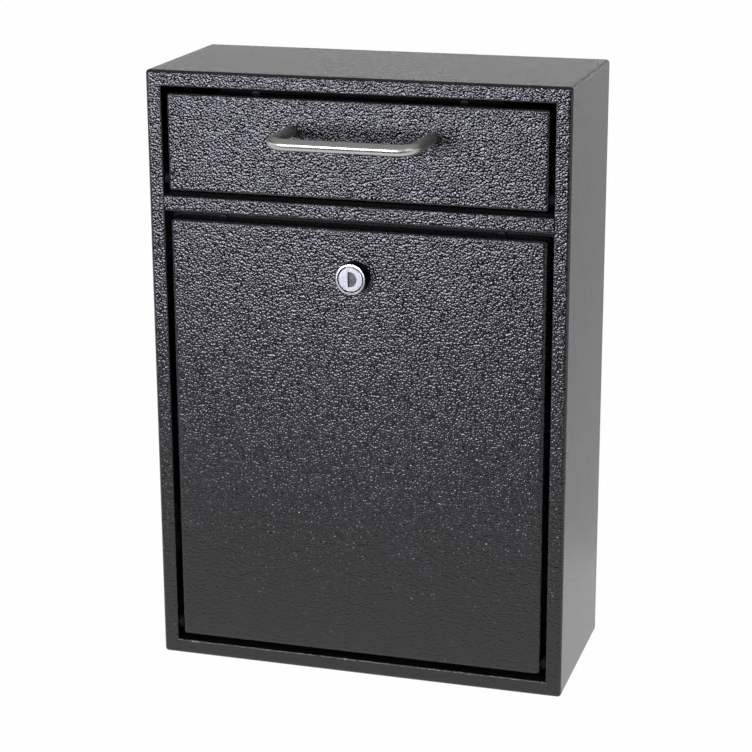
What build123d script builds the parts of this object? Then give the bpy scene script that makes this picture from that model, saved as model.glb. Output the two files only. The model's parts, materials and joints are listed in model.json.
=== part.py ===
from build123d import *
import math
import os

# Locking mailbox of folded steel: a case, a tilting hopper with a wire pull,
# and a drop-down door with a cam lock. Millimetres, +Z up, front towards -Y.
# The origin is the middle of the underside that the case stands on.

# Case of one thickness of sheet, folded round four sides and in at the front
case_width = 284.5
case_depth = 119.4
case_height = 411.5
sheet = 1.5
case_bend_inside = 1.0     # inside radius of the case's folds
flange_width = 10.6        # front flange, from the outside to the opening
lip_depth = 12.0           # second fold, from the front plane inwards
lip_bend = 1.2
butt_step = 0.6            # side flanges stop this far above the bottom one
seam = 0.15                # gap left where two welded or riveted pieces meet

# Back panel with its wall holes
back_flange = 12.0
back_bend_inside = 1.0
wall_holes_across = 203.2
wall_holes_up = 228.6
wall_holes_low = 48.0      # lower pair, above the underside
wall_hole_radius = 4.0

# Heights down the front, from the top of the opening
hopper_top_gap = 4.0
hopper_height = 65.1
hopper_rail_gap = 3.0
rail_height = 11.3
door_rail_gap = 4.2
door_sill_gap = 3.9
side_gap = 3.65            # between either front and the side flanges

# Rail between the two fronts, with the flange that the cam locks behind
fold_bend = 2.0            # radius along the drawn face of every folded strip
rail_top_leg = 12.0
strike_drop = 9.5          # strike flange, below the rail's underside

# Hopper front and door front, both pans with returned edges
hopper_return = 12.0
hopper_bend_inside = 0.5
door_return = 13.0
door_bend_inside = 1.5

# Pivots near the lower corners of both fronts
pivot_inset = 6.5          # behind the front plane
pivot_up = 7.5             # above the front's lower edge
pin_radius = 2.5
pin_head_radius = 3.6
pin_head = 1.4
running = 0.05             # radial clearance of a turning fit
spacer_radius = 4.5
spacer_play = 0.3

# Rubber pads that the closed fronts come to rest on
bumper_radius = 3.5
bumper_thickness = 2.0
bumper_free = 0.3          # left between pad and edge
hopper_bumper_spread = 140.0
door_bumper_spread = 190.0
bumper_drop = 2.0          # pad's middle below the edge it meets

# Stop angle on the top lip
stop_length = 190.0
stop_drop = 10.0

# Tray behind the hopper front
hopper_swing = 45.0
tray_run = 23.0            # level part of the floor, from the front plane
tray_slope = 35.0          # fall of the floor behind it, in degrees
tray_radius = 66.0         # rear of the cheeks, about the pivots
cheek_radius = 56.0        # front part, which passes under the top lip
horn_margin = 0.5          # degrees left between the horns and the lip
horn_round = 2.0
rivet_radius = 1.6
rivet_head_radius = 3.0
rivet_head = 1.0
rivet_spacing = 60.0
rivet_count = 4
rivet_setback = 9.0        # behind the front plane

# Baffle hanging behind the tray
baffle_gap = 2.5           # between the tray's sweep and the baffle
baffle_overlap = 4.5       # baffle's lower fold, below the raised tray edge
baffle_flange = 16.0
baffle_foot = 9.0
baffle_side_gap = 1.2

# Wire pull on the hopper
pull_wire = 7.8
pull_centres = 94.0
pull_off_centre = 5.0      # the pull sits to the right of the middle
pull_reach = 46.5          # from the panel to the middle of the bar
pull_bend = 12.0
pull_below_top = 21.4
screw_radius = 2.0
screw_grip = 10.0          # length inside each leg
screw_head_radius = 4.0
screw_head = 2.6
screw_play = 0.1
washer_radius = 5.0
washer_thickness = 0.8

# Cam lock: housing, nut and washer
lock_below_top = 31.3
head_reach = 9.5
head_base_radius = 10.75
head_face_radius = 10.15
groove_radius = 8.85
groove_depth = 0.8
barrel_radius = 9.5
barrel_flats = 16.4
barrel_play = 0.1
nut_across = 23.0
nut_thickness = 5.0
lock_washer_radius = 12.5
lock_washer_thickness = 1.0

# Lock plug and what turns with it
plug_head_radius = 8.1
plug_head_length = 6.0
plug_radius = 6.4
tail_across = 7.5
cam_gap = 1.0              # between the strike flange and the locked cam
cam_thickness = 2.0
cam_length = 32.0
cam_hub_radius = 8.5
cam_tip_radius = 5.0
stop_disc_radius = 8.6
stop_disc_thickness = 1.0
stop_tooth_width = 3.0
stop_tooth_height = 2.0
stop_play = 3.0            # degrees left at each end of the tooth's travel
key_turn = 90.0
cam_washer_radius = 6.0
cam_screw_radius = 1.9
cam_screw_grip = 7.0
cam_screw_head_radius = 4.5
cam_screw_head = 2.4

# D-shaped keyway and the flap that shuts it
keyway_radius = 4.9
keyway_off_centre = -0.8
keyway_flat = -1.75        # flat side, from the middle of the plug
keyway_depth = 10.0
shutter_setback = 1.0      # behind the plug's face
shutter_thickness = 0.6
shutter_play = 0.15
shutter_rod_radius = 0.45
shutter_rod_place = -1.15
shutter_rod_overlap = 1.0

# Places that follow from the sizes above
front = -case_depth / 2
back = case_depth / 2
opening_side = case_width / 2 - flange_width
opening_top = case_height - flange_width
opening_sill = flange_width
hopper_top = opening_top - hopper_top_gap
hopper_low = hopper_top - hopper_height
rail_top = hopper_low - hopper_rail_gap
rail_low = rail_top - rail_height
door_top = rail_low - door_rail_gap
door_low = opening_sill + door_sill_gap
door_height = door_top - door_low
front_width = 2 * (opening_side - side_gap)
return_inside = front_width / 2 - sheet
pivot_y = front + pivot_inset
hopper_pivot_z = hopper_low + pivot_up
door_pivot_z = door_low + pivot_up
hopper_stop_y = front + hopper_return + bumper_free + bumper_thickness
strike_y = front + door_return + bumper_free + bumper_thickness
pull_z = hopper_top - pull_below_top
lock_z = door_top - lock_below_top
face_y = front - head_reach
cam_y = strike_y + sheet + cam_gap
barrel_end = cam_y - stop_disc_thickness
cheek_outside = return_inside - seam
tray_front = front + sheet + hopper_bend_inside + seam
tray_floor = hopper_low + sheet + seam


# Shared helpers

def block(x, y, z):
    # A box from its three ranges
    size = Box(x[1] - x[0], y[1] - y[0], z[1] - z[0])
    return Pos((x[0] + x[1]) / 2, (y[0] + y[1]) / 2, (z[0] + z[1]) / 2) * size


def upright_block(width, height, y_from, y_to, z_from):
    return block((-width / 2, width / 2), (y_from, y_to), (z_from, z_from + height))


def front_edges(solid):
    return solid.faces().sort_by(Axis.Y)[0].edges()


def pan(width, height, y_from, y_to, z_from, bend_inside):
    # Sheet folded round a hollow that is open to the rear. Its welded corners are
    # dressed round outside, and inside the four edges simply meet
    outside = upright_block(width, height, y_from, y_to, z_from)
    corners = outside.edges().filter_by(Axis.Y)
    outside = fillet(corners + front_edges(outside), bend_inside + sheet)
    hollow = upright_block(
        width - 2 * sheet,
        height - 2 * sheet,
        y_from + sheet,
        y_to + sheet,
        z_from + sheet,
    )
    return outside - fillet(front_edges(hollow), bend_inside)


def folded_strip(face_line, half_length):
    # Sheet folded across X, from the (y, z) line of one face, on the line's left
    section = make_face(offset(face_line, amount=sheet, side=Side.LEFT))
    return extrude(Plane.YZ * section, half_length, both=True)


def turned(profile):
    # A turned piece from (radius, y) points, about the Y axis
    return revolve(make_face(Polyline(*profile, close=True)), Axis.Y)


def across(piece):
    # Turns a piece made about Y so that it lies along X
    return Rot(0, 0, -90) * piece


def upright(piece):
    # Turns a piece made about Y so that it stands along Z
    return Rot(90, 0, 0) * piece


def cylinder_y(radius, x, z, y_from, y_to):
    middle = Pos(x, (y_from + y_to) / 2, z)
    return middle * Rot(90, 0, 0) * Cylinder(radius, y_to - y_from)


def pivot_bores(z):
    # A cutter for the pin holes of both sides, out through the lips
    reach = 2 * (opening_side + 2 * sheet)
    return Pos(0, pivot_y, z) * Rot(0, 90, 0) * Cylinder(pin_radius + running, reach)


def from_front(section, y_from, y_to):
    # A section drawn as seen from the front, as a plate between two depths
    plane = Plane((0, y_to, 0), x_dir=(1, 0, 0), z_dir=(0, -1, 0))
    return extrude(plane * section, y_to - y_from)


def at_lock(piece):
    return Pos(0, 0, lock_z) * piece


def other_side(piece):
    return mirror(piece, about=Plane.YZ)


# Case

def make_case_wrap():
    walls = pan(case_width, case_height, front, back, 0, case_bend_inside)
    lip = block(
        (-opening_side - sheet, opening_side + sheet),
        (front + sheet, front + lip_depth),
        (opening_sill - sheet, opening_top + sheet),
    )
    opening = block(
        (-opening_side, opening_side),
        (front - sheet, front + lip_depth + sheet),
        (opening_sill, opening_top),
    )
    wrap = walls + lip - opening
    rim = wrap.edges().filter_by_position(Axis.Y, front - seam, front + seam)
    inner = opening_side + seam
    rim = rim.filter_by_position(Axis.X, -inner, inner)
    rim = rim.filter_by_position(Axis.Z, opening_sill - seam, opening_top + seam)
    wrap = fillet(rim, lip_bend)
    step = block(
        (opening_side, case_width / 2 + sheet),
        (front - sheet, front + sheet + case_bend_inside),
        (-sheet, butt_step),
    )
    wrap = wrap - step - other_side(step)
    return wrap - pivot_bores(hopper_pivot_z) - pivot_bores(door_pivot_z)


def make_back_panel():
    inset = sheet + seam
    width = case_width - 2 * inset
    height = case_height - 2 * inset
    facing_front = pan(width, height, 0, back_flange, inset, back_bend_inside)
    panel = Pos(0, back, 0) * Rot(0, 0, 180) * facing_front
    for x in (-wall_holes_across / 2, wall_holes_across / 2):
        for z in (wall_holes_low, wall_holes_low + wall_holes_up):
            panel = panel - cylinder_y(wall_hole_radius, x, z, back - 2 * sheet, back + sheet)
    return panel


def make_mid_rail():
    points = [
        (front + rail_top_leg, rail_top),
        (front, rail_top),
        (front, rail_low),
        (strike_y, rail_low),
        (strike_y, rail_low - strike_drop),
    ]
    return folded_strip(FilletPolyline(*points, radius=fold_bend), opening_side - seam)


def make_hopper_stop():
    level = opening_top + sheet + seam
    points = [
        (front + 2 * sheet, level),
        (hopper_stop_y, level),
        (hopper_stop_y, opening_top - stop_drop),
    ]
    return folded_strip(FilletPolyline(*points, radius=fold_bend), stop_length / 2)


def tray_end():
    # Where the sloping floor meets the cheeks' rear arc, from the pivots
    start_y = tray_run - pivot_inset
    start_z = sheet + seam - pivot_up
    fall = math.radians(tray_slope)
    along = start_y * math.cos(fall) - start_z * math.sin(fall)
    spare = tray_radius ** 2 - start_y ** 2 - start_z ** 2
    length = math.sqrt(along ** 2 + spare) - along
    return start_y + length * math.cos(fall), start_z - length * math.sin(fall)


def make_hopper_baffle():
    face = pivot_y + tray_radius + baffle_gap
    end_y, end_z = tray_end()
    raised = math.atan2(end_z, end_y) + math.radians(hopper_swing)
    lowest = hopper_pivot_z + tray_radius * math.sin(raised) - baffle_overlap
    foot = baffle_foot * math.sqrt(0.5)
    points = [
        (face + baffle_flange, case_height - sheet - seam),
        (face, case_height - sheet - seam),
        (face, lowest + foot),
        (face + foot, lowest),
    ]
    half_length = case_width / 2 - sheet - baffle_side_gap
    return folded_strip(FilletPolyline(*points, radius=fold_bend), half_length)


def make_pivot_pin(inner_face, z):
    # Riveted through the lip, with its head inside the front that it carries
    head_face = inner_face - spacer_play
    rivet_face = opening_side + sheet + seam
    pin = turned([
        (0, head_face - pin_head),
        (pin_head_radius, head_face - pin_head),
        (pin_head_radius, head_face),
        (pin_radius, head_face),
        (pin_radius, rivet_face),
        (pin_head_radius, rivet_face),
        (pin_head_radius, rivet_face + pin_head),
        (0, rivet_face + pin_head),
    ])
    return Pos(0, pivot_y, z) * across(pin)


def make_spacer(z):
    ring = turned([
        (pin_radius + running, front_width / 2 + spacer_play),
        (spacer_radius, front_width / 2 + spacer_play),
        (spacer_radius, opening_side - seam),
        (pin_radius + running, opening_side - seam),
    ])
    return Pos(0, pivot_y, z) * across(ring)


def make_bumpers(spread, seat_y, edge_z):
    pads = []
    for x in (-spread / 2, spread / 2):
        pads.append(cylinder_y(
            bumper_radius, x, edge_z - bumper_drop, seat_y - bumper_thickness, seat_y
        ))
    return Compound(children=pads)


# Hopper

def pull_legs():
    middle = pull_off_centre
    return middle - pull_centres / 2, middle + pull_centres / 2


def rivet_places():
    first = -rivet_spacing * (rivet_count - 1) / 2
    return [first + step * rivet_spacing for step in range(rivet_count)]


def rivet_bores():
    bores = []
    for x in rivet_places():
        bore = Cylinder(rivet_radius + running, 2 * pivot_up)
        bores.append(Pos(x, front + rivet_setback, hopper_low) * bore)
    return bores


def make_hopper_panel():
    rear = front + hopper_return
    panel = pan(front_width, hopper_height, front, rear, hopper_low, hopper_bend_inside)
    for x in pull_legs():
        panel = panel - cylinder_y(
            screw_radius + screw_play, x, pull_z, front - sheet, front + 2 * sheet
        )
    for bore in rivet_bores():
        panel = panel - bore
    return panel - pivot_bores(hopper_pivot_z)


def tray_line():
    # Underside of the tray's floor, level and then falling to the rear
    end_y, end_z = tray_end()
    return FilletPolyline(
        (tray_front, tray_floor),
        (front + tray_run, tray_floor),
        (pivot_y + end_y, hopper_pivot_z + end_z),
        radius=fold_bend,
    )


def make_cheek():
    # Quarter-round side of the tray, with a horn that stops it at the top lip
    pivot = (pivot_y, hopper_pivot_z)
    end_y, end_z = tray_end()
    end_angle = math.degrees(math.atan2(end_z, end_y))
    lip_angle = math.atan2(opening_top - hopper_pivot_z, lip_depth - pivot_inset)
    horn_angle = math.degrees(lip_angle) - hopper_swing - horn_margin
    ahead_angle = math.degrees(math.acos((tray_front - pivot_y) / cheek_radius))
    rear_arc = CenterArc(pivot, tray_radius, end_angle, horn_angle - end_angle)
    front_arc = CenterArc(pivot, cheek_radius, horn_angle, ahead_angle - horn_angle)
    outline = Curve() + [
        rear_arc,
        Line(rear_arc @ 1, front_arc @ 0),
        front_arc,
        Line(front_arc @ 1, (tray_front, tray_floor)),
        tray_line(),
    ]
    face = Plane.YZ.offset(cheek_outside) * make_face(outline)
    cheek = extrude(face, -sheet)
    horn_y = pivot_y + tray_radius * math.cos(math.radians(horn_angle))
    horn_z = hopper_pivot_z + tray_radius * math.sin(math.radians(horn_angle))
    tip = cheek.edges().filter_by(Axis.X).sort_by_distance((cheek_outside, horn_y, horn_z))
    return fillet(tip[0], horn_round)


def make_hopper_tray():
    floor = folded_strip(tray_line(), cheek_outside)
    cheek = make_cheek()
    tray = floor + cheek + other_side(cheek)
    below = tray.edges().filter_by(lambda edge: edge.center().Z < tray_floor + seam)
    outer = below.filter_by(lambda edge: abs(abs(edge.center().X) - cheek_outside) < seam)
    folded = outer.filter_by(lambda edge: edge.center().Y < pivot_y + tray_radius - tray_run)
    tray = fillet(folded, hopper_bend_inside + sheet / 2)
    for bore in rivet_bores():
        tray = tray - bore
    return tray - pivot_bores(hopper_pivot_z)


def make_tray_rivets():
    low = hopper_low
    high = hopper_low + 2 * sheet + seam
    shape = turned([
        (0, low - rivet_head),
        (rivet_head_radius, low - rivet_head),
        (rivet_head_radius, low),
        (rivet_radius, low),
        (rivet_radius, high),
        (rivet_head_radius, high),
        (rivet_head_radius, high + rivet_head),
        (0, high + rivet_head),
    ])
    places = [Pos(x, front + rivet_setback, 0) for x in rivet_places()]
    return Compound(children=[place * upright(shape) for place in places])


def make_pull_handle():
    left, right = pull_legs()
    bar_y = front - pull_reach
    line = FilletPolyline(
        (left, front, pull_z),
        (left, bar_y, pull_z),
        (right, bar_y, pull_z),
        (right, front, pull_z),
        radius=pull_bend,
    )
    wire = sweep((line ^ 0) * Circle(pull_wire / 2), path=line)
    for x in pull_legs():
        depth = screw_grip + screw_play
        wire = wire - cylinder_y(screw_radius + running, x, pull_z, front - depth, front)
    return wire


def make_handle_screws():
    seat = front + sheet + washer_thickness
    shape = turned([
        (0, front - screw_grip),
        (screw_radius, front - screw_grip),
        (screw_radius, seat),
        (screw_head_radius, seat),
        (screw_head_radius, seat + screw_head),
        (0, seat + screw_head),
    ])
    return Compound(children=[Pos(x, 0, pull_z) * shape for x in pull_legs()])


def make_handle_washers():
    ring = turned([
        (screw_radius + screw_play, front + sheet),
        (washer_radius, front + sheet),
        (washer_radius, front + sheet + washer_thickness),
        (screw_radius + screw_play, front + sheet + washer_thickness),
    ])
    return Compound(children=[Pos(x, 0, pull_z) * ring for x in pull_legs()])


# Door

def make_door_panel():
    rear = front + door_return
    panel = pan(front_width, door_height, front, rear, door_low, door_bend_inside)
    hole = Circle(barrel_radius + barrel_play)
    hole = hole & Rectangle(barrel_flats + 2 * barrel_play, 2 * barrel_radius + sheet)
    panel = panel - at_lock(from_front(hole, front - sheet, front + 2 * sheet))
    return panel - pivot_bores(door_pivot_z)


# Lock

def make_lock_housing():
    bore = plug_radius + running
    head_bore = plug_head_radius + running
    shoulder = face_y + plug_head_length + seam
    body = turned([
        (head_bore, face_y + groove_depth),
        (groove_radius, face_y + groove_depth),
        (groove_radius, face_y),
        (head_face_radius, face_y),
        (head_base_radius, front),
        (barrel_radius, front),
        (barrel_radius, barrel_end),
        (bore, barrel_end),
        (bore, shoulder),
        (head_bore, shoulder),
    ])
    flat = block(
        (barrel_flats / 2, head_base_radius),
        (front, barrel_end),
        (-head_base_radius, head_base_radius),
    )
    body = body - flat - other_side(flat)
    return at_lock(body - stop_notch())


def stop_notch():
    # Quarter notch at the barrel's end, in which the stop tooth travels
    half_tooth = math.degrees(math.atan2(stop_tooth_width / 2, plug_radius))
    first = 180 + half_tooth + stop_play
    last = 180 - key_turn - half_tooth - stop_play
    reach = 2 * barrel_radius
    corners = [(0, 0)]
    for angle in (first, (first + last) / 2, last):
        turn = math.radians(angle)
        corners.append((reach * math.cos(turn), reach * math.sin(turn)))
    wedge = make_face(Polyline(*corners, close=True))
    depth = stop_tooth_height + spacer_play
    return from_front(wedge, barrel_end - depth, barrel_end + sheet)


def make_lock_washer():
    low = front + sheet
    return at_lock(turned([
        (barrel_radius + barrel_play, low),
        (lock_washer_radius, low),
        (lock_washer_radius, low + lock_washer_thickness),
        (barrel_radius + barrel_play, low + lock_washer_thickness),
    ]))


def make_lock_nut():
    low = front + sheet + lock_washer_thickness
    hexagon = RegularPolygon(nut_across / 2, 6, major_radius=False)
    section = hexagon - Circle(barrel_radius + barrel_play)
    return at_lock(from_front(section, low, low + nut_thickness))


def keyway_section(play):
    # The D-shaped section, smaller all round by the given play
    round_side = Pos(keyway_off_centre, 0) * Circle(keyway_radius - play)
    flat_side = keyway_flat + play
    kept = Pos(flat_side + keyway_radius, 0) * Rectangle(2 * keyway_radius, 2 * keyway_radius)
    return round_side & kept


def shutter_rod(radius, overlap):
    # Upright rod at the flat side of the keyway, a little into the plug
    height = 2 * (keyway_radius + overlap)
    rod_y = face_y + shutter_setback + shutter_thickness / 2
    return Pos(shutter_rod_place, rod_y, 0) * Cylinder(radius, height)


def make_lock_plug():
    plug = turned([
        (0, face_y),
        (plug_head_radius, face_y),
        (plug_head_radius, face_y + plug_head_length),
        (plug_radius, face_y + plug_head_length),
        (plug_radius, barrel_end - running),
        (0, barrel_end - running),
    ])
    half_tail = tail_across / 2
    tail_end = cam_y + cam_thickness
    plug = plug + block(
        (-half_tail, half_tail), (barrel_end - sheet, tail_end), (-half_tail, half_tail)
    )
    plug = plug - from_front(keyway_section(0), face_y - sheet, face_y + keyway_depth)
    plug = plug - shutter_rod(shutter_rod_radius + running, shutter_rod_overlap)
    screw_bore = cam_screw_grip + screw_play
    plug = plug - cylinder_y(
        cam_screw_radius + running, 0, 0, tail_end - screw_bore, tail_end + sheet
    )
    return at_lock(plug)


def make_keyway_shutter():
    section = keyway_section(shutter_play)
    width = 2 * keyway_radius
    section = section & (Pos(shutter_rod_place + keyway_radius, 0) * Rectangle(width, width))
    low = face_y + shutter_setback
    flap = from_front(section, low, low + shutter_thickness)
    rod = shutter_rod(shutter_rod_radius, shutter_rod_overlap - shutter_play)
    return at_lock(flap + rod)


def tail_hole():
    side = tail_across + 2 * running
    return Rectangle(side, side)


def make_stop_disc():
    low = cam_y - stop_disc_thickness
    disc = from_front(Circle(stop_disc_radius) - tail_hole(), low, cam_y)
    tooth = Pos(-stop_disc_radius + sheet / 2, 0) * Rectangle(sheet, stop_tooth_width)
    return at_lock(disc + from_front(tooth, low - stop_tooth_height, cam_y))


def make_lock_cam():
    # The arm lies to the left while the lock is open
    hub = Circle(cam_hub_radius)
    tip = Pos(cam_tip_radius - cam_length, 0) * Circle(cam_tip_radius)
    arm = make_hull(hub.edges() + tip.edges()) - tail_hole()
    return at_lock(from_front(arm, cam_y, cam_y + cam_thickness))


def make_cam_washer():
    low = cam_y + cam_thickness
    return at_lock(turned([
        (cam_screw_radius + running, low),
        (cam_washer_radius, low),
        (cam_washer_radius, low + washer_thickness),
        (cam_screw_radius + running, low + washer_thickness),
    ]))


def make_cam_screw():
    seat = cam_y + cam_thickness + washer_thickness
    end = cam_y + cam_thickness - cam_screw_grip
    return at_lock(turned([
        (0, end),
        (cam_screw_radius, end),
        (cam_screw_radius, seat),
        (cam_screw_head_radius, seat),
        (cam_screw_head_radius, seat + cam_screw_head),
        (0, seat + cam_screw_head),
    ]))


hopper_pin = make_pivot_pin(cheek_outside - sheet, hopper_pivot_z)
hopper_spacer = make_spacer(hopper_pivot_z)
door_pin = make_pivot_pin(return_inside, door_pivot_z)
door_spacer = make_spacer(door_pivot_z)

pieces = {
    "case_wrap": make_case_wrap(),
    "back_panel": make_back_panel(),
    "mid_rail": make_mid_rail(),
    "hopper_stop": make_hopper_stop(),
    "hopper_baffle": make_hopper_baffle(),
    "hopper_pin_right": hopper_pin,
    "hopper_pin_left": other_side(hopper_pin),
    "hopper_spacer_right": hopper_spacer,
    "hopper_spacer_left": other_side(hopper_spacer),
    "door_pin_right": door_pin,
    "door_pin_left": other_side(door_pin),
    "door_spacer_right": door_spacer,
    "door_spacer_left": other_side(door_spacer),
    "hopper_bumpers": make_bumpers(hopper_bumper_spread, hopper_stop_y, hopper_top),
    "door_bumpers": make_bumpers(door_bumper_spread, strike_y, door_top),
    "hopper_panel": make_hopper_panel(),
    "hopper_tray": make_hopper_tray(),
    "tray_rivets": make_tray_rivets(),
    "pull_handle": make_pull_handle(),
    "handle_screws": make_handle_screws(),
    "handle_washers": make_handle_washers(),
    "door_panel": make_door_panel(),
    "lock_housing": make_lock_housing(),
    "lock_washer": make_lock_washer(),
    "lock_nut": make_lock_nut(),
    "lock_plug": make_lock_plug(),
    "keyway_shutter": make_keyway_shutter(),
    "stop_disc": make_stop_disc(),
    "lock_cam": make_lock_cam(),
    "cam_washer": make_cam_washer(),
    "cam_screw": make_cam_screw(),
}

os.makedirs("parts", exist_ok=True)
for name, piece in pieces.items():
    export_step(piece, f"parts/{name}.step")
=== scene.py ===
import json
import math

import bmesh
import bpy
from mathutils import Matrix, Vector


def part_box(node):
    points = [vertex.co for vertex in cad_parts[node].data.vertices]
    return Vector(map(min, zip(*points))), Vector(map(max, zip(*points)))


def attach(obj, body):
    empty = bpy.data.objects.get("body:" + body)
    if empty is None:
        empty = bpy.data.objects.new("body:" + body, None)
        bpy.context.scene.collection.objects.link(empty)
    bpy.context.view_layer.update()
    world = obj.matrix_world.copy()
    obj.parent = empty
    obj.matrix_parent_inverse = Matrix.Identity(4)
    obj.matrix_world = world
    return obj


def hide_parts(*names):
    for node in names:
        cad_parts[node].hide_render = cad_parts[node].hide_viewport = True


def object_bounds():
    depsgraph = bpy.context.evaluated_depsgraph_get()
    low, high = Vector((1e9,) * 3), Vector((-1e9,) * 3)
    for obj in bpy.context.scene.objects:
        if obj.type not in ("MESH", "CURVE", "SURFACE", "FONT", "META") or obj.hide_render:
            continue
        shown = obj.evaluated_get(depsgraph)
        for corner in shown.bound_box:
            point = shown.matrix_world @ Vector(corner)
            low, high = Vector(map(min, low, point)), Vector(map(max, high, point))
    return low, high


# Locking mailbox in black textured powder coat. Sizes below are in millimetres
# unless a name says otherwise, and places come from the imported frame.
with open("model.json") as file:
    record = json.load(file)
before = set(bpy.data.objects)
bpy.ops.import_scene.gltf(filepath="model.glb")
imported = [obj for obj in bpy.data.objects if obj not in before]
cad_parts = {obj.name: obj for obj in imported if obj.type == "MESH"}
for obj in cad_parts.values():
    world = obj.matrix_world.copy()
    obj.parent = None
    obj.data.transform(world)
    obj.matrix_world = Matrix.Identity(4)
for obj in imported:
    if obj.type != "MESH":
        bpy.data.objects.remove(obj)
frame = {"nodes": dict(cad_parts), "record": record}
cadLow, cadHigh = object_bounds()
print("frame loaded:", len(frame["nodes"]), "nodes")

mm = 0.001
aroundSides = 96  # segments of a small turned piece
tiny = 1e-6       # keeps a division off zero


def linearColour(hexColour):
    # sRGB hex, such as "#1a1a1c", to the linear values that shaders take
    channels = [int(hexColour[i:i + 2], 16) / 255 for i in (1, 3, 5)]
    linear = [c / 12.92 if c <= 0.04045 else ((c + 0.055) / 1.055) ** 2.4 for c in channels]
    return (*linear, 1.0)


def addNode(tree, kind, settings=None, links=None):
    # Adds one node. Settings are keyed by socket or by option, and links by socket, which
    # goes by its name or number
    node = tree.nodes.new(kind)
    for key, value in (settings or {}).items():
        if isinstance(key, int) or key in node.inputs:
            node.inputs[key].default_value = value
        else:
            setattr(node, key, value)
    for key, source in (links or {}).items():
        tree.links.new(source, node.inputs[key])
    return node


def newMaterial(name):
    material = bpy.data.materials.new(name)
    material.use_nodes = True
    material.node_tree.nodes.clear()
    return material, material.node_tree


def finishMaterial(tree, shader):
    addNode(tree, "ShaderNodeOutputMaterial", links={"Surface": shader.outputs[0]})


# Black powder coat, a semi-gloss polyester baked to a pebbled wrinkle. Each pebble is a
# low dome, so under a lamp the eye gets a bright fleck on its upper flank with dark valleys
# round it, and where no lamp is mirrored the coat looks nearly smooth. Its colour is also
# painted darker towards the valleys, as painted shade in the creases.
powderCoat = {
    "colour": "#141416",
    # painted shade: the colour the coat is drawn with in its valleys
    "paintedValleyShade": "#09090a",
    "roughness": 0.15,
    "ior": 1.55,
    "pebble": 1.45,         # spacing of the pebbles
    "crown": 0.42,          # share of the spacing that each one's round crown takes
    "steepest": 14.2,       # degrees, on the flanks beyond the crown
    "crumple": 0.65,        # how far the pebbles are pushed out of shape
    "grain": 0.5,           # spacing of the fine orange peel on them
    "grainRelief": 0.012,   # its height
    "valleyShadeFrom": 0.35,     # shares of the spacing between which the valleys' painted shade sets in
    "valleyTo": 0.7,
    # painted shade: the coat's colour within the case, behind the given place
    "paintedInsideShade": "#060607",
    "insideRoughness": 0.85,
    "insideShadeFade": 1.0,      # length over which the coat turns matt and its painted shade sets in
}


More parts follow.
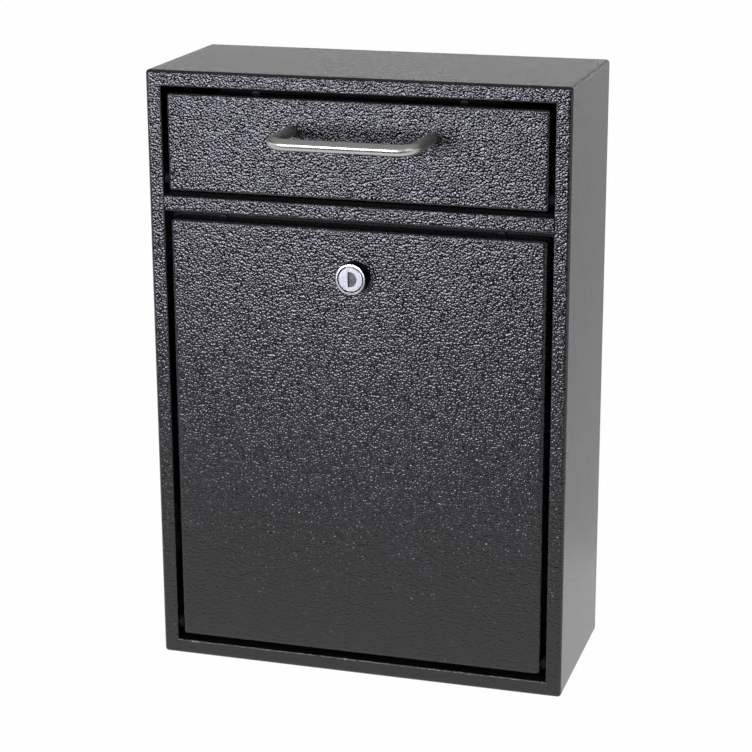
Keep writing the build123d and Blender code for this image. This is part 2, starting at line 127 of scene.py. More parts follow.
def blackPowderCoat(name, shadeAndMattBehind):
    # Behind the given place the coat's colour is painted darker, as painted shade within
    # the case, and the coat turns matt
    v = powderCoat
    material, tree = newMaterial(name)
    place = addNode(tree, "ShaderNodeTexCoord").outputs["Object"]
    wander = addNode(tree, "ShaderNodeTexNoise", {
        "Scale": 1 / (v["pebble"] * mm), "Detail": 1.0,
    }, {"Vector": place})
    crumpled = addNode(tree, "ShaderNodeVectorMath", {
        "operation": "MULTIPLY_ADD", 1: (v["crumple"] * mm,) * 3,
    }, {0: wander.outputs["Color"], 2: place})
    pebbles = addNode(tree, "ShaderNodeTexVoronoi", {
        "Scale": 1 / (v["pebble"] * mm),
    }, {"Vector": crumpled.outputs[0]})
    # The fall from a pebble's top grows with the square of the distance, and past the
    # crown it goes on at one slope: distance squared, less the excess squared
    distance = pebbles.outputs["Distance"]
    squared = addNode(tree, "ShaderNodeMath", {"operation": "MULTIPLY"}, {
        0: distance, 1: distance,
    })
    past = addNode(tree, "ShaderNodeMath", {
        "operation": "SUBTRACT", 1: v["crown"], "use_clamp": True,
    }, {0: distance})
    excess = addNode(tree, "ShaderNodeMath", {"operation": "MULTIPLY"}, {
        0: past.outputs[0], 1: past.outputs[0],
    })
    fall = addNode(tree, "ShaderNodeMath", {"operation": "SUBTRACT"}, {
        0: squared.outputs[0], 1: excess.outputs[0],
    })
    fallHeight = v["pebble"] * math.tan(math.radians(v["steepest"])) / (2 * v["crown"])
    grain = addNode(tree, "ShaderNodeTexNoise", {
        "Scale": 1 / (v["grain"] * mm), "Detail": 0.0,
    }, {"Vector": place})
    fine = addNode(tree, "ShaderNodeMath", {
        "operation": "MULTIPLY", 1: v["grainRelief"],
    }, {0: grain.outputs[0]})
    height = addNode(tree, "ShaderNodeMath", {
        "operation": "MULTIPLY_ADD", 1: -fallHeight,
    }, {0: fall.outputs[0], 2: fine.outputs[0]})
    bump = addNode(tree, "ShaderNodeBump", {
        "Strength": 1.0, "Distance": mm,
    }, {"Height": height.outputs[0]})
    # Painted shade: the coat's colour goes darker towards each pebble's edge
    valley = addNode(tree, "ShaderNodeMapRange", {
        "interpolation_type": "SMOOTHSTEP",
        "From Min": v["valleyShadeFrom"], "From Max": v["valleyTo"],
    }, {"Value": distance})
    colour = addNode(tree, "ShaderNodeMix", {
        "data_type": "RGBA",
        6: linearColour(v["colour"]),
        7: linearColour(v["paintedValleyShade"]),
    }, {0: valley.outputs[0]})
    # Painted shade: behind the given place along Y the colour turns darker and the coat matt
    depth = addNode(tree, "ShaderNodeSeparateXYZ", links={0: place}).outputs["Y"]
    insideShadeMask = addNode(tree, "ShaderNodeMapRange", {
        "From Min": shadeAndMattBehind * mm, "From Max": (shadeAndMattBehind + v["insideShadeFade"]) * mm,
    }, {"Value": depth})
    insideShadedColour = addNode(tree, "ShaderNodeMix", {
        "data_type": "RGBA", 7: linearColour(v["paintedInsideShade"]),
    }, {0: insideShadeMask.outputs[0], 6: colour.outputs[2]})
    rough = addNode(tree, "ShaderNodeMapRange", {
        "To Min": v["roughness"], "To Max": v["insideRoughness"],
    }, {"Value": insideShadeMask.outputs[0]})
    shader = addNode(tree, "ShaderNodeBsdfPrincipled", {"IOR": v["ior"]}, {
        "Base Color": insideShadedColour.outputs[2],
        "Roughness": rough.outputs[0],
        "Normal": bump.outputs[0],
    })
    finishMaterial(tree, shader)
    return material


# Stainless wire with a satin polish drawn lengthwise, which smears highlights into bands
satinSteel = {
    "colour": "#c4c3bf",
    "smoothest": 0.28,      # its roughness varies from line to line
    "roughest": 0.40,
    "anisotropy": 0.7,
    "lineSpacing": 0.45,    # real polishing lines are finer, and wouldn't show
    "lineLength": 60,
    "lineRelief": 0.030,
}


def satinStainlessWire():
    v = satinSteel
    material, tree = newMaterial("satinStainlessWire")
    along = addNode(tree, "ShaderNodeUVMap", {"uv_map": "alongWire"}).outputs[0]
    stretched = addNode(tree, "ShaderNodeVectorMath", {
        "operation": "MULTIPLY", 1: (1 / v["lineLength"], 1 / v["lineSpacing"], 1.0),
    }, {0: along})
    lines = addNode(tree, "ShaderNodeTexNoise", {
        "Scale": 1.0, "Detail": 2.0, "Roughness": 0.6,
    }, {"Vector": stretched.outputs[0]})
    bump = addNode(tree, "ShaderNodeBump", {
        "Strength": 1.0, "Distance": v["lineRelief"] * mm,
    }, {"Height": lines.outputs[0]})
    rough = addNode(tree, "ShaderNodeMapRange", {
        "To Min": v["smoothest"], "To Max": v["roughest"],
    }, {"Value": lines.outputs[0]})
    shader = addNode(tree, "ShaderNodeBsdfPrincipled", {
        "Base Color": linearColour(v["colour"]), "Metallic": 1.0,
        "Anisotropic": v["anisotropy"],
    }, {"Roughness": rough.outputs[0], "Normal": bump.outputs[0]})
    finishMaterial(tree, shader)
    return material


# Satin chrome over a zinc casting: bright but blurred, with a faint haze of handling marks
chromePlate = {
    "colour": "#e3e3e6",
    "smoothest": 0.27,      # its roughness varies with the haze
    "roughest": 0.34,
    "haze": 2.5,
    "hazeRelief": 0.01,
    "hazeStrength": 0.1,    # of that relief
}


def chromePlatedZinc():
    v = chromePlate
    material, tree = newMaterial("satinChromePlatedZinc")
    place = addNode(tree, "ShaderNodeTexCoord").outputs["Object"]
    haze = addNode(tree, "ShaderNodeTexNoise", {
        "Scale": 1 / (v["haze"] * mm), "Detail": 3.0,
    }, {"Vector": place})
    rough = addNode(tree, "ShaderNodeMapRange", {
        "To Min": v["smoothest"], "To Max": v["roughest"],
    }, {"Value": haze.outputs[0]})
    bump = addNode(tree, "ShaderNodeBump", {
        "Strength": v["hazeStrength"], "Distance": v["hazeRelief"] * mm,
    }, {"Height": haze.outputs[0]})
    shader = addNode(tree, "ShaderNodeBsdfPrincipled", {
        "Base Color": linearColour(v["colour"]), "Metallic": 1.0,
    }, {"Roughness": rough.outputs[0], "Normal": bump.outputs[0]})
    finishMaterial(tree, shader)
    return material


# Bright zinc plate on small steel parts: bluish grey with soft cloudy patches
zincPlate = {"colour": "#b9bec4", "cloudColour": "#9aa0a8", "cloud": 1.6,
             "smoothest": 0.22, "roughest": 0.40}
# Plate painted dark on the lock: painted shade in the groove and keyway, and a painted
# reflection of the black coat on the head's side
paintedShadePlate = {"colour": "#222224", "cloudColour": "#0c0c0d", "cloud": 0.9,
             "smoothest": 0.26, "roughest": 0.44}
# Blanked spring steel of the dust shutter: mid grey, with oily patches
springSteel = {"colour": "#79797b", "cloudColour": "#353537", "cloud": 1.3,
               "smoothest": 0.28, "roughest": 0.46}


def cloudyPlate(name, v):
    material, tree = newMaterial(name)
    place = addNode(tree, "ShaderNodeTexCoord").outputs["Object"]
    clouds = addNode(tree, "ShaderNodeTexNoise", {
        "Scale": 1 / (v["cloud"] * mm), "Detail": 4.0,
    }, {"Vector": place})
    colour = addNode(tree, "ShaderNodeMix", {
        "data_type": "RGBA",
        6: linearColour(v["cloudColour"]),
        7: linearColour(v["colour"]),
    }, {0: clouds.outputs[0]})
    rough = addNode(tree, "ShaderNodeMapRange", {
        "To Min": v["smoothest"], "To Max": v["roughest"],
    }, {"Value": clouds.outputs[0]})
    shader = addNode(tree, "ShaderNodeBsdfPrincipled", {
        "Metallic": 1.0,
    }, {"Base Color": colour.outputs[2], "Roughness": rough.outputs[0]})
    finishMaterial(tree, shader)
    return material


# Die-cut nitrile rubber: dull black with a dusty grain
rubber = {"colour": "#151515", "dustColour": "#262625", "roughness": 0.82,
          "specular": 0.5, "grain": 0.4}
# Turned black nylon with fine turning marks, painted darker than nylon and with its sheen
# dimmed, as painted shade where it sits in the gaps
nylon = {"colour": "#070708", "dustColour": "#0e0e0f", "roughness": 0.70,
         "specular": 0.12, "grain": 0.25}
# Parts deep in the case, painted near black and with their sheen dimmed, as painted
# shade there, with a dusty grain
paintedShadeInside = {"colour": "#060607", "dustColour": "#0c0c0d", "roughness": 0.85,
             "specular": 0.08, "grain": 0.6}
dullRelief = {"height": 0.03, "strength": 0.6}  # of the grain on all three


def dullBlack(name, v):
    material, tree = newMaterial(name)
    place = addNode(tree, "ShaderNodeTexCoord").outputs["Object"]
    grain = addNode(tree, "ShaderNodeTexNoise", {
        "Scale": 1 / (v["grain"] * mm), "Detail": 3.0,
    }, {"Vector": place})
    colour = addNode(tree, "ShaderNodeMix", {
        "data_type": "RGBA", 6: linearColour(v["colour"]), 7: linearColour(v["dustColour"]),
    }, {0: grain.outputs[0]})
    bump = addNode(tree, "ShaderNodeBump", {
        "Strength": dullRelief["strength"], "Distance": dullRelief["height"] * mm,
    }, {"Height": grain.outputs[0]})
    shader = addNode(tree, "ShaderNodeBsdfPrincipled", {
        "Roughness": v["roughness"], "Specular IOR Level": v["specular"],
    }, {"Base Color": colour.outputs[2], "Normal": bump.outputs[0]})
    finishMaterial(tree, shader)
    return material


# How far back a powder coat is glossy and free of painted shade. The rail's is so only on
# its face, which ends at the front bend; behind it the rail is painted dark as shade
glossyUnshadedTo = {"everywhere": 1000, "railFace": -58}
finishes = {
    "black_powder_coat": blackPowderCoat("blackWrinklePowderCoat", glossyUnshadedTo["everywhere"]),
    "satin_steel": satinStainlessWire(),
    "bright_chrome": chromePlatedZinc(),
    "zinc_plated_steel": cloudyPlate("brightZincPlate", zincPlate),
    "black_rubber": dullBlack("blackNitrileRubber", rubber),
    # Painted shade: the nylon spacers are drawn darker and duller than nylon, as the gaps'
    # shade
    "black_nylon": dullBlack("paintedShadeBlackNylon", nylon),
}
# Painted shade and painted reflection for the lock's groove, keyway and head side
paintedShadeFinish = cloudyPlate("paintedShadeLockPlate", paintedShadePlate)
# Painted shade on the hopper stop and baffle, deep in the case
paintedShadeInsideFinish = dullBlack("paintedShadeInsideBlack", paintedShadeInside)
# The rail behind its face is painted dark, as painted shade within the case
railPaintedShadeFinish = blackPowderCoat("railPaintedShadePowderCoat", glossyUnshadedTo["railFace"])
ownFinishes = {
    "mid_rail": railPaintedShadeFinish,
    "hopper_stop": paintedShadeInsideFinish,
    "hopper_baffle": paintedShadeInsideFinish,
    "keyway_shutter": cloudyPlate("oiledSpringSteel", springSteel),
}
slotOf = {s["node"]: s["material_slot"] for s in frame["record"]["subparts"]}
for name, node in frame["nodes"].items():
    for materialSlot in node.material_slots:
        materialSlot.material = ownFinishes.get(name, finishes[slotOf[name]])
print("finishes made:", len(finishes))


# Rings of points, in millimetres, are lofted into meshes
right, rear, up = Vector((1, 0, 0)), Vector((0, 1, 0)), Vector((0, 0, 1))
ringAxes = {"X": (rear, up, right), "Y": (right, up, rear), "Z": (right, rear, up)}


def ringAbout(axis, middle, radius, along):
    # The radius and the place along the axis are numbers, or functions of the angle
    first, second, forward = ringAxes[axis]
    points = []
    for step in range(aroundSides):
        angle = 360 * step / aroundSides
        r = radius(angle) if callable(radius) else radius
        a = along(angle) if callable(along) else along
        turn = math.radians(angle)
        outward = math.cos(turn) * first + math.sin(turn) * second
        points.append(middle + r * outward + a * forward)
    return points


def turnedSet(axis, middle, profile):
    return [ringAbout(axis, middle, radius, along) for radius, along in profile]


def domedHead(radius, seat, top, steps=6):
    # Profile from a head's top to its seat
    points = []
    for step in range(1, steps + 1):
        turn = math.radians(90 * step / steps)
        points.append((radius * math.sin(turn), seat + (top - seat) * math.cos(turn)))
    return points


def loft(name, ringSets, smoothAngle=35, hollow=False, uvName=None, paintedShadeBands=()):
    # Each set of rings becomes one solid, and all of them one object. A hollow set's last
    # ring joins its first, and any other set is closed at both ends. Bands of painted shade,
    # counted from the first ring, get the piece's second finish, and -1 is the first end
    mesh = bpy.data.meshes.new(name)
    made = bmesh.new()
    uvLayer = made.loops.layers.uv.new(uvName) if uvName else None
    for rings in ringSets:
        rows = [[made.verts.new(p * mm) for p in points] for points in rings]
        count = len(rows[0])
        travelled = [0.0]
        for before, after in zip(rings, rings[1:]):
            travelled.append(travelled[-1] + (sumOf(after) - sumOf(before)).length / count)
        for i, (lower, upper) in enumerate(zip(rows, rows[1:] + rows[:1] * hollow)):
            for j in range(count):
                k = (j + 1) % count
                face = made.faces.new((lower[j], lower[k], upper[k], upper[j]))
                face.material_index = int(i in paintedShadeBands)
                if uvLayer:
                    corners = ((i, j), (i, j + 1), (i + 1, j + 1), (i + 1, j))
                    for loop, (a, b) in zip(face.loops, corners):
                        loop[uvLayer].uv = (travelled[a], b * uvStep(rings[0]))
        if not hollow:
            made.faces.new(rows[0]).material_index = int(-1 in paintedShadeBands)
            made.faces.new(rows[-1])
    bmesh.ops.recalc_face_normals(made, faces=made.faces)
    made.to_mesh(mesh)
    made.free()
    mesh.shade_smooth()
    mesh.set_sharp_from_angle(angle=math.radians(smoothAngle))
    piece = bpy.data.objects.new(name, mesh)
    bpy.context.scene.collection.objects.link(piece)
    return piece


def sumOf(points):
    return sum(points, Vector((0, 0, 0)))


def uvStep(points):
    return (points[1] - points[0]).length


def dress(piece, body, slot, *nodes, second=None):
    # Gives a new piece its finish, its body and the nodes that it stands for, and a second
    # finish, painted dark as shade, where it has bands of painted shade
    piece.data.materials.append(finishes[slot])
    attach(piece, body)
    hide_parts(*nodes)
    if second:
        piece.data.materials.append(second)


def boxOf(node):
    low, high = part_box(node)
    return low / mm, high / mm


def spread(low, high, radius, count):
    # Places, along X, of round things that fill the length from low to high
    first, last = low.x + radius, high.x - radius
    return [first + (last - first) * step / (count - 1) for step in range(count)]


# Wire pull: one bent wire, as thick as the node is high
pull = {"bend": 12.0, "sides": 64, "bendSteps": 20, "endBevel": 0.4}


def pullWire():
    low, high = boxOf("pull_handle")
    wireRadius = (high.z - low.z) / 2
    z = (low.z + high.z) / 2
    leftX, rightX = low.x + wireRadius, high.x - wireRadius
    barY, faceY, bend, bevel = low.y + wireRadius, high.y, pull["bend"], pull["endBevel"]
    # A station is a point of the wire's line, with its heading and the wire's radius there
    stations = [((leftX, faceY), -90, wireRadius - bevel)]
    stations.append(((leftX, faceY - bevel), -90, wireRadius))
    for centreX, first in ((leftX + bend, 180), (rightX - bend, 270)):
        for step in range(pull["bendSteps"] + 1):
            angle = first + 90 * step / pull["bendSteps"]
            turn = math.radians(angle)
            point = (centreX + bend * math.cos(turn), barY + bend + bend * math.sin(turn))
            stations.append((point, angle + 90, wireRadius))
    stations.append(((rightX, faceY - bevel), 90, wireRadius))
    stations.append(((rightX, faceY), 90, wireRadius - bevel))
    rings = []
    for (x, y), heading, radius in stations:
        turn = math.radians(heading)
        sideways = Vector((-math.sin(turn), math.cos(turn), 0))
        middle = Vector((x, y, z))
        ring = []
        for step in range(pull["sides"]):
            angle = 2 * math.pi * step / pull["sides"]
            ring.append(middle + radius * (math.cos(angle) * sideways + math.sin(angle) * up))
        rings.append(ring)
    piece = loft("pullWire", [rings], uvName="alongWire")
    dress(piece, "hopper", "satin_steel", "pull_handle")


pullWire()
print("wire pull made")


# Cam lock. Its keyway is a D with the flat on the left
lock = {
    "headReach": 9.5,
    "headBase": 10.75,
    "headFace": 10.15,
    "rimInner": 8.85,       # bright ring, outside the groove round the plug
    "rimBevel": 0.30,
    "grooveDepth": 0.8,
    "plugHead": 8.1,
    "plugHeadLength": 6.0,
    "plugBody": 6.4,
    "play": 0.05,
    "shoulderGap": 0.15,    # behind the plug's head
    "barrel": 9.5,
    "barrelFlats": 16.4,
    "threadPitch": 1.0,
    "threadDepth": 0.4,
    "threadEnds": 0.5,      # plain length at each end of the thread
    "notch": (73.8, 196.2),  # degrees, where the stop tooth travels
    "notchDepth": 2.3,
    "tail": 7.5,
    "keyway": 4.9,
    "keywayOff": -0.8,
    "keywayFlat": -1.75,
    "keywayEye": 1.0,       # a point inside the keyway, right of the lock's middle
    "keywayDepth": 10.0,
    "keywayBevel": 0.25,
    "nutChamfer": 0.9,
}
lockLow, lockHigh = boxOf("lock_housing")
lockMiddle = Vector((0, 0, (lockLow.z + lockHigh.z) / 2))
lockFace, barrelEnd = lockLow.y, lockHigh.y
lockSeat = lockFace + lock["headReach"]


def squareRadius(half):
    # Radius of a square, as a function of the angle
    return lambda angle: half / math.cos(math.radians((angle + 45) % 90 - 45))


def hexagonRadius(half, limit=math.inf):
    # Radius of a hexagon with corners on the X direction, inside a limiting circle
    return lambda angle: min(limit, half / math.cos(math.radians(angle % 60 - 30)))


def barrelRadius(r):
    # A round barrel between its two side flats
    flat = lock["barrelFlats"] / 2
    return lambda angle: min(r, flat / max(abs(math.cos(math.radians(angle))), tiny))


def notchedEnd(angle):
    first, last = lock["notch"]
    return barrelEnd - (lock["notchDepth"] if first < angle < last else 0)


def lockHead():
    v = lock
    headBore, bore = v["plugHead"] + v["play"], v["plugBody"] + v["play"]
    shoulder = lockFace + v["plugHeadLength"] + v["shoulderGap"]
    bevel = v["rimBevel"]
    profile = [
        (headBore, lockFace + v["grooveDepth"]),
        (v["rimInner"], lockFace + v["grooveDepth"]),
        (v["rimInner"], lockFace + bevel / 2),
        (v["rimInner"] + bevel / 2, lockFace),
        (v["headFace"] - bevel, lockFace),
        (v["headFace"] - bevel / 3, lockFace + bevel / 3),
        (v["headFace"], lockFace + bevel),
        (v["headBase"], lockSeat - bevel),
        (v["headBase"], lockSeat),
        (v["barrel"], lockSeat),
    ]
    threaded = barrelEnd - lockSeat - v["notchDepth"] - 2 * v["threadEnds"]
    root = v["barrel"] - v["threadDepth"]
    for ridge in range(int(threaded / v["threadPitch"])):
        start = lockSeat + v["threadEnds"] + ridge * v["threadPitch"]
        profile.append((barrelRadius(root), start))
        profile.append((barrelRadius(v["barrel"]), start + v["threadPitch"] / 2))
    profile.append((barrelRadius(root), notchedEnd))
    profile.append((bore, notchedEnd))
    profile.append((bore, shoulder))
    profile.append((headBore, shoulder))
    # The groove and the head's side are painted dark: shade in the groove, a painted
    # reflection of the black coat on the side
    piece = loft("lockHead", [turnedSet("Y", lockMiddle, profile)], hollow=True,
                 paintedShadeBands=(0, 1, 5, 6, 7, 8))
    dress(piece, "door", "bright_chrome", "lock_housing", second=paintedShadeFinish)


def keywayRadius(grow):
    # The keyway's outline, as seen from its eye
    v = lock
    centre = v["keywayOff"] - v["keywayEye"]
    arc = v["keyway"] + grow
    flat = v["keywayFlat"] - grow - v["keywayEye"]

    def radius(angle):
        turn = math.radians(angle)
        reach = math.sqrt(arc ** 2 - (centre * math.sin(turn)) ** 2)
        reach += centre * math.cos(turn)
        if math.cos(turn) < -tiny:
            reach = min(reach, flat / math.cos(turn))
        return reach
    return radius


def lockPlug():
    v = lock
    tailEnd = boxOf("lock_plug")[1].y
    eye = lockMiddle + v["keywayEye"] * right
    bevel = v["keywayBevel"]
    rings = [
        ringAbout("Y", eye, keywayRadius(0), lockFace + v["keywayDepth"]),
        ringAbout("Y", eye, keywayRadius(0), lockFace + bevel),
        ringAbout("Y", eye, keywayRadius(bevel), lockFace),
    ]
    rings += turnedSet("Y", lockMiddle, [
        (v["plugHead"] - v["rimBevel"], lockFace),
        (v["plugHead"], lockFace + v["rimBevel"]),
        (v["plugHead"], lockFace + v["plugHeadLength"]),
        (v["plugBody"], lockFace + v["plugHeadLength"]),
        (v["plugBody"], barrelEnd - v["play"]),
        (squareRadius(v["tail"] / 2), barrelEnd - v["play"]),
        (squareRadius(v["tail"] / 2), tailEnd - v["rimBevel"]),
        (squareRadius(v["tail"] / 2 - v["rimBevel"]), tailEnd),
    ])
    # The keyway is painted dark, as painted shade in it
    piece = loft("lockPlug", [rings], paintedShadeBands=(-1, 0, 4))
    dress(piece, "lock_core", "bright_chrome", "lock_plug", second=paintedShadeFinish)


def lockNut():
    low, high = boxOf("lock_nut")
    half = (high.z - low.z) / 2
    bore = lock["barrel"] + 2 * lock["play"]
    chamfer = lock["nutChamfer"]
    profile = [
        (bore, low.y + chamfer / 2),
        (bore + chamfer / 2, low.y),
        (hexagonRadius(half, half - chamfer / 4), low.y),
        (hexagonRadius(half), low.y + chamfer),
        (hexagonRadius(half), high.y - chamfer),
        (hexagonRadius(half, half - chamfer / 4), high.y),
        (bore + chamfer / 2, high.y),
        (bore, high.y - chamfer / 2),
    ]
    piece = loft("lockNut", [turnedSet("Y", lockMiddle, profile)], smoothAngle=20, hollow=True)
    dress(piece, "door", "zinc_plated_steel", "lock_nut")


lockHead()
lockPlug()
lockNut()
print("lock made")


# Screws with a cross recess, their heads towards the rear
crossRecess = {
    "reach": 0.52,          # shares of the head's radius
    "arm": 0.13,
    "footReach": 0.5,       # shares of those two, at the recess's bottom
    "footArm": 0.6,
    "depth": 0.55,          # share of the head's height
}
# Shares of the head's radius, with shares of its height below the top
headRounding = ((0.66, 0), (0.86, 0.10), (0.97, 0.30), (1, 0.55))
screwTip = {"length": 1 / 3, "width": 0.7}  # shares of the shank's radius


def crossRadius(reach, arm):
    # Outline of two crossed bars, as a function of the angle
    def radius(angle):
        turn = math.radians(angle)
        bars = [arm / max(abs(part), tiny) for part in (math.sin(turn), math.cos(turn))]
        return max(min(reach, bar) for bar in bars)
    return radius


def screwSet(middle, tip, seat, top, shank, head):
    v = crossRecess
    reach, arm = v["reach"] * head, v["arm"] * head
    height = top - seat
    foot = crossRadius(reach * v["footReach"], arm * v["footArm"])
    profile = [(foot, top - v["depth"] * height), (crossRadius(reach, arm), top)]
    profile += [(head * across, top - below * height) for across, below in headRounding]
    profile += [(head, seat), (shank, seat), (shank, tip + shank * screwTip["length"])]
    profile.append((shank * screwTip["width"], tip))
    return turnedSet("Y", middle, profile)


screws = {
    "handle_screws": {"name": "handleScrews", "body": "hopper", "count": 2,
                      "shank": 2.0, "head": 4.0, "headHeight": 2.6},
    "cam_screw": {"name": "camScrew", "body": "lock_core", "count": 1,
                  "shank": 1.9, "head": 4.5, "headHeight": 2.4},
}
for node, v in screws.items():
    low, high = boxOf(node)
    places = spread(low, high, v["head"], v["count"]) if v["count"] > 1 else [0]
    sets = []
    for x in places:
        middle = Vector((x, 0, (low.z + high.z) / 2))
        seat = high.y - v["headHeight"]
        sets.append(screwSet(middle, low.y, seat, high.y, v["shank"], v["head"]))
    dress(loft(v["name"], sets), v["body"], "zinc_plated_steel", node)


def rivetProfile(v, start, end):
    # A shank between two domed heads
    startSeat, endSeat = start + v["headHeight"], end - v["headHeight"]
    points = domedHead(v["head"], startSeat, start)
    points += [(v["shank"], startSeat), (v["shank"], endSeat)]
    points += reversed(domedHead(v["head"], endSeat, end))
    return points


# Rivets through the tray, and pivot pins riveted into the case's lips
tray = {"rivets": 4, "shank": 1.6, "head": 3.0, "headHeight": 1.0}
low, high = boxOf("tray_rivets")
profile = rivetProfile(tray, low.z, high.z)
sets = []
for x in spread(low, high, tray["head"], tray["rivets"]):
    sets.append(turnedSet("Z", Vector((x, (low.y + high.y) / 2, 0)), profile))
dress(loft("trayRivets", sets), "hopper", "zinc_plated_steel", "tray_rivets")

pins = {"shank": 2.5, "head": 3.6, "headHeight": 1.4}
for door in ("hopper", "door"):
    for side in ("left", "right"):
        low, high = boxOf(f"{door}_pin_{side}")
        profile = rivetProfile(pins, low.x, high.x)
        middle = Vector((0, (low.y + high.y) / 2, (low.z + high.z) / 2))
        pin = loft(f"{door}Pin{side.capitalize()}", [turnedSet("X", middle, profile)])
        dress(pin, "case", "zinc_plated_steel", f"{door}_pin_{side}")

# Rubber pads, with the free edge moulded round through a point given in shares of it
pads = {"count": 2, "edge": 0.5, "edgeIn": 0.3, "edgeBack": 0.2}
for door in ("hopper", "door"):
    low, high = boxOf(f"{door}_bumpers")
    radius = (high.z - low.z) / 2
    profile = [
        (radius - pads["edge"], low.y),
        (radius - pads["edge"] * pads["edgeIn"], low.y + pads["edge"] * pads["edgeBack"]),
        (radius, low.y + pads["edge"]),
        (radius, high.y),
    ]
    sets = []
    for x in spread(low, high, radius, pads["count"]):
        sets.append(turnedSet("Y", Vector((x, 0, (low.z + high.z) / 2)), profile))
    dress(loft(f"{door}Bumpers", sets), "case", "black_rubber", f"{door}_bumpers")
print("screws, rivets, pins and pads made")


# Camera at the photograph's viewpoint, worked out from the case's corners
camera = {
    "place": (412, -1386, 631),
    "yaw": 16.69,           # degrees, towards the left
    "pitch": 16.71,         # downwards
    "roll": -0.28,
    "lens": 105.1,          # on a 36 mm sensor
    "clip": (0.01, 50),     # metres
}


def addCamera():
    data = bpy.data.cameras.new("photoCamera")
    data.lens = camera["lens"]
    data.clip_start, data.clip_end = camera["clip"]
    made = bpy.data.objects.new("photoCamera", data)
    bpy.context.scene.collection.objects.link(made)
    turn = Matrix.Rotation(math.radians(camera["yaw"]), 4, "Z")
    turn = turn @ Matrix.Rotation(math.radians(90 - camera["pitch"]), 4, "X")
    turn = turn @ Matrix.Rotation(math.radians(camera["roll"]), 4, "Z")
    made.matrix_world = Matrix.Translation(Vector(camera["place"]) * mm) @ turn
    bpy.context.scene.camera = made


# Studio: pale floor, white surroundings, a low softbox ahead of the front, and a weak one
# on the right
studio = {
    "floorColour": "#e9e9e7",
    "floorWhite": 0.985,    # share of plain white that the camera and reflections see
    "ambient": 0.30,
    "floorSize": 8.0,       # metres, as below
    "floorBelow": 0.0002,   # clear of the case
    "keyPlace": (-0.36, -1.20, 0.44),
    "keySize": (0.80, 0.32),
    "keyPower": 15.2,
    "keyColour": "#eeeeff",
    "fillPlace": (1.5, -0.9, 0.9),
    "fillSize": (0.9, 0.9),
    "fillPower": 4,
    "fillColour": "#ffffff",
    "aim": (0.0, -0.06, 0.26),
}

# Studio cloth, seen only in reflections: black on the floor ahead, black walls hung above
# the white, a grey lid, and a pale sheet on the floor behind on the right
cloth = {
    "blackColour": "#0a0a0b",
    "greyColour": "#a4a4a6",
    "paleColour": "#cbcbcd",
    "away": 3.8,            # metres, as below
    "lift": 0.001,          # of the sheets on the floor
    "floorAhead": 0.52,
    "floorBehind": 0.20,
    "floorRight": 0.16,
    "lowAhead": 0.15,
    "lowAside": 0.90,
    "lowBehind": 1.18,
    "top": 2.4,
}


def pureWhiteShare(tree):
    # 1 for rays that should see plain white: the camera's, and those in metal or glass
    path = addNode(tree, "ShaderNodeLightPath")
    either = addNode(tree, "ShaderNodeMath", {"operation": "MAXIMUM"}, {
        0: path.outputs["Is Camera Ray"], 1: path.outputs["Is Glossy Ray"],
    })
    return addNode(tree, "ShaderNodeMath", {"operation": "MAXIMUM"}, {
        0: either.outputs[0], 1: path.outputs["Is Transmission Ray"],
    })


def addWorld():
    world = bpy.data.worlds.new("whiteStudio")
    world.use_nodes = True
    tree = world.node_tree
    tree.nodes.clear()
    white = pureWhiteShare(tree)
    level = addNode(tree, "ShaderNodeMapRange", {
        "To Min": studio["ambient"], "To Max": 1.0,
    }, {"Value": white.outputs[0]})
    light = addNode(tree, "ShaderNodeBackground", {
        "Color": (1, 1, 1, 1),
    }, {"Strength": level.outputs[0]})
    addNode(tree, "ShaderNodeOutputWorld", links={"Surface": light.outputs[0]})
    bpy.context.scene.world = world


def addFloor():
    half = studio["floorSize"] / 2
    mesh = bpy.data.meshes.new("studioFloor")
    corners = [(-half, -half, 0), (half, -half, 0), (half, half, 0), (-half, half, 0)]
    mesh.from_pydata(corners, [], [(0, 1, 2, 3)])
    floor = bpy.data.objects.new("studioFloor", mesh)
    floor.location.z = cadLow.z - studio["floorBelow"]
    bpy.context.scene.collection.objects.link(floor)
    material, tree = newMaterial("seamlessPaper")
    white = pureWhiteShare(tree)
    share = addNode(tree, "ShaderNodeMath", {
        "operation": "MULTIPLY", 1: studio["floorWhite"],
    }, {0: white.outputs[0]})
    paper = addNode(tree, "ShaderNodeBsdfDiffuse", {
        "Color": linearColour(studio["floorColour"]),
    })
    plain = addNode(tree, "ShaderNodeEmission", {"Color": (1, 1, 1, 1)})
    both = addNode(tree, "ShaderNodeMixShader", links={
        0: share.outputs[0], 1: paper.outputs[0], 2: plain.outputs[0],
    })
    finishMaterial(tree, both)
    mesh.materials.append(material)


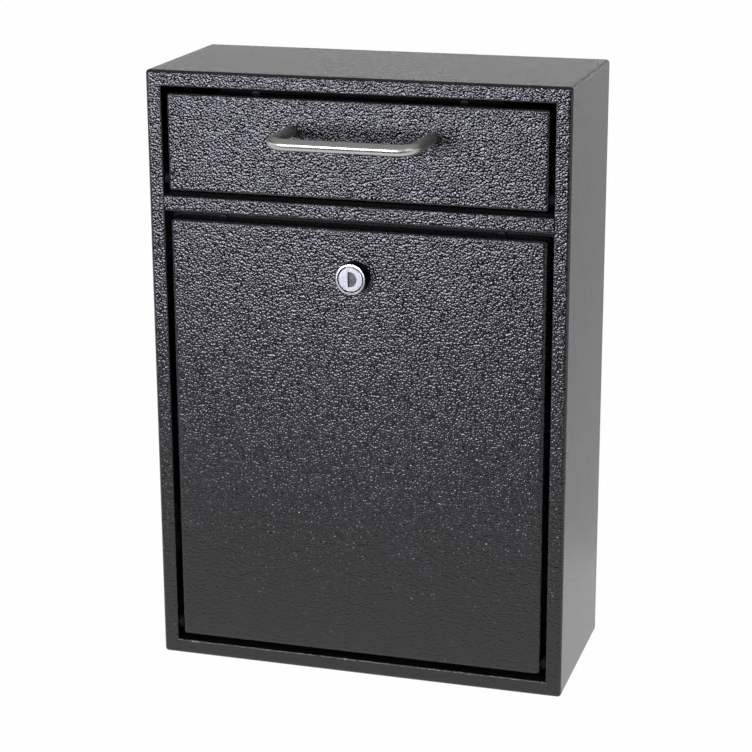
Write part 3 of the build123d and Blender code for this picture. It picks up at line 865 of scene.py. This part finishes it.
def addCloth():
    # It lights nothing, and only dims what gloss mirrors
    away, top, lift = cloth["away"], cloth["top"], cloth["lift"]
    ahead, behind, beside = cloth["floorAhead"], cloth["floorBehind"], cloth["floorRight"]
    posts = [(-away, -away), (away, -away), (away, away), (-away, away)]
    lows = [cloth["lowAhead"], cloth["lowAside"], cloth["lowBehind"], cloth["lowAside"]]
    pale = [(beside, behind), (away, behind), (away, away), (beside, away)]
    black = [(-away, -away), (away, -away), (away, -ahead), (-away, -ahead)]
    corners = [(x, y, top) for x, y in posts]
    corners += [(x, y, lift) for x, y in pale + black]
    for side, low in enumerate(lows):
        start, end = posts[side], posts[(side + 1) % 4]
        corners += [(*start, low), (*end, low), (*end, top), (*start, top)]
    mesh = bpy.data.meshes.new("studioCloth")
    mesh.from_pydata(corners, [], [range(i, i + 4) for i in range(0, len(corners), 4)])
    hung = bpy.data.objects.new("studioCloth", mesh)
    bpy.context.scene.collection.objects.link(hung)
    hung.visible_camera = False
    hung.visible_diffuse = False
    hung.visible_shadow = False
    for name in ("black", "grey", "pale"):
        material, tree = newMaterial(name + "StudioCloth")
        finishMaterial(tree, addNode(tree, "ShaderNodeEmission", {
            "Color": linearColour(cloth[name + "Colour"]), "Strength": 1.0,
        }))
        mesh.materials.append(material)
    mesh.polygons[0].material_index = 1
    mesh.polygons[1].material_index = 2


def addSoftbox(name, place, size, power, colour):
    data = bpy.data.lights.new(name, "AREA")
    data.shape = "RECTANGLE"
    data.size, data.size_y = size
    data.energy = power
    data.color = linearColour(colour)[:3]
    made = bpy.data.objects.new(name, data)
    bpy.context.scene.collection.objects.link(made)
    made.location = place
    aimed = Vector(studio["aim"]) - Vector(place)
    made.rotation_mode = "QUATERNION"
    made.rotation_quaternion = aimed.to_track_quat("-Z", "Y")


addCamera()
addWorld()
addFloor()
addCloth()
addSoftbox("keySoftbox", studio["keyPlace"], studio["keySize"], studio["keyPower"],
           studio["keyColour"])
addSoftbox("fillSoftbox", studio["fillPlace"], studio["fillSize"], studio["fillPower"],
           studio["fillColour"])
bpy.context.scene.view_settings.view_transform = "Standard"
print("camera and studio made")
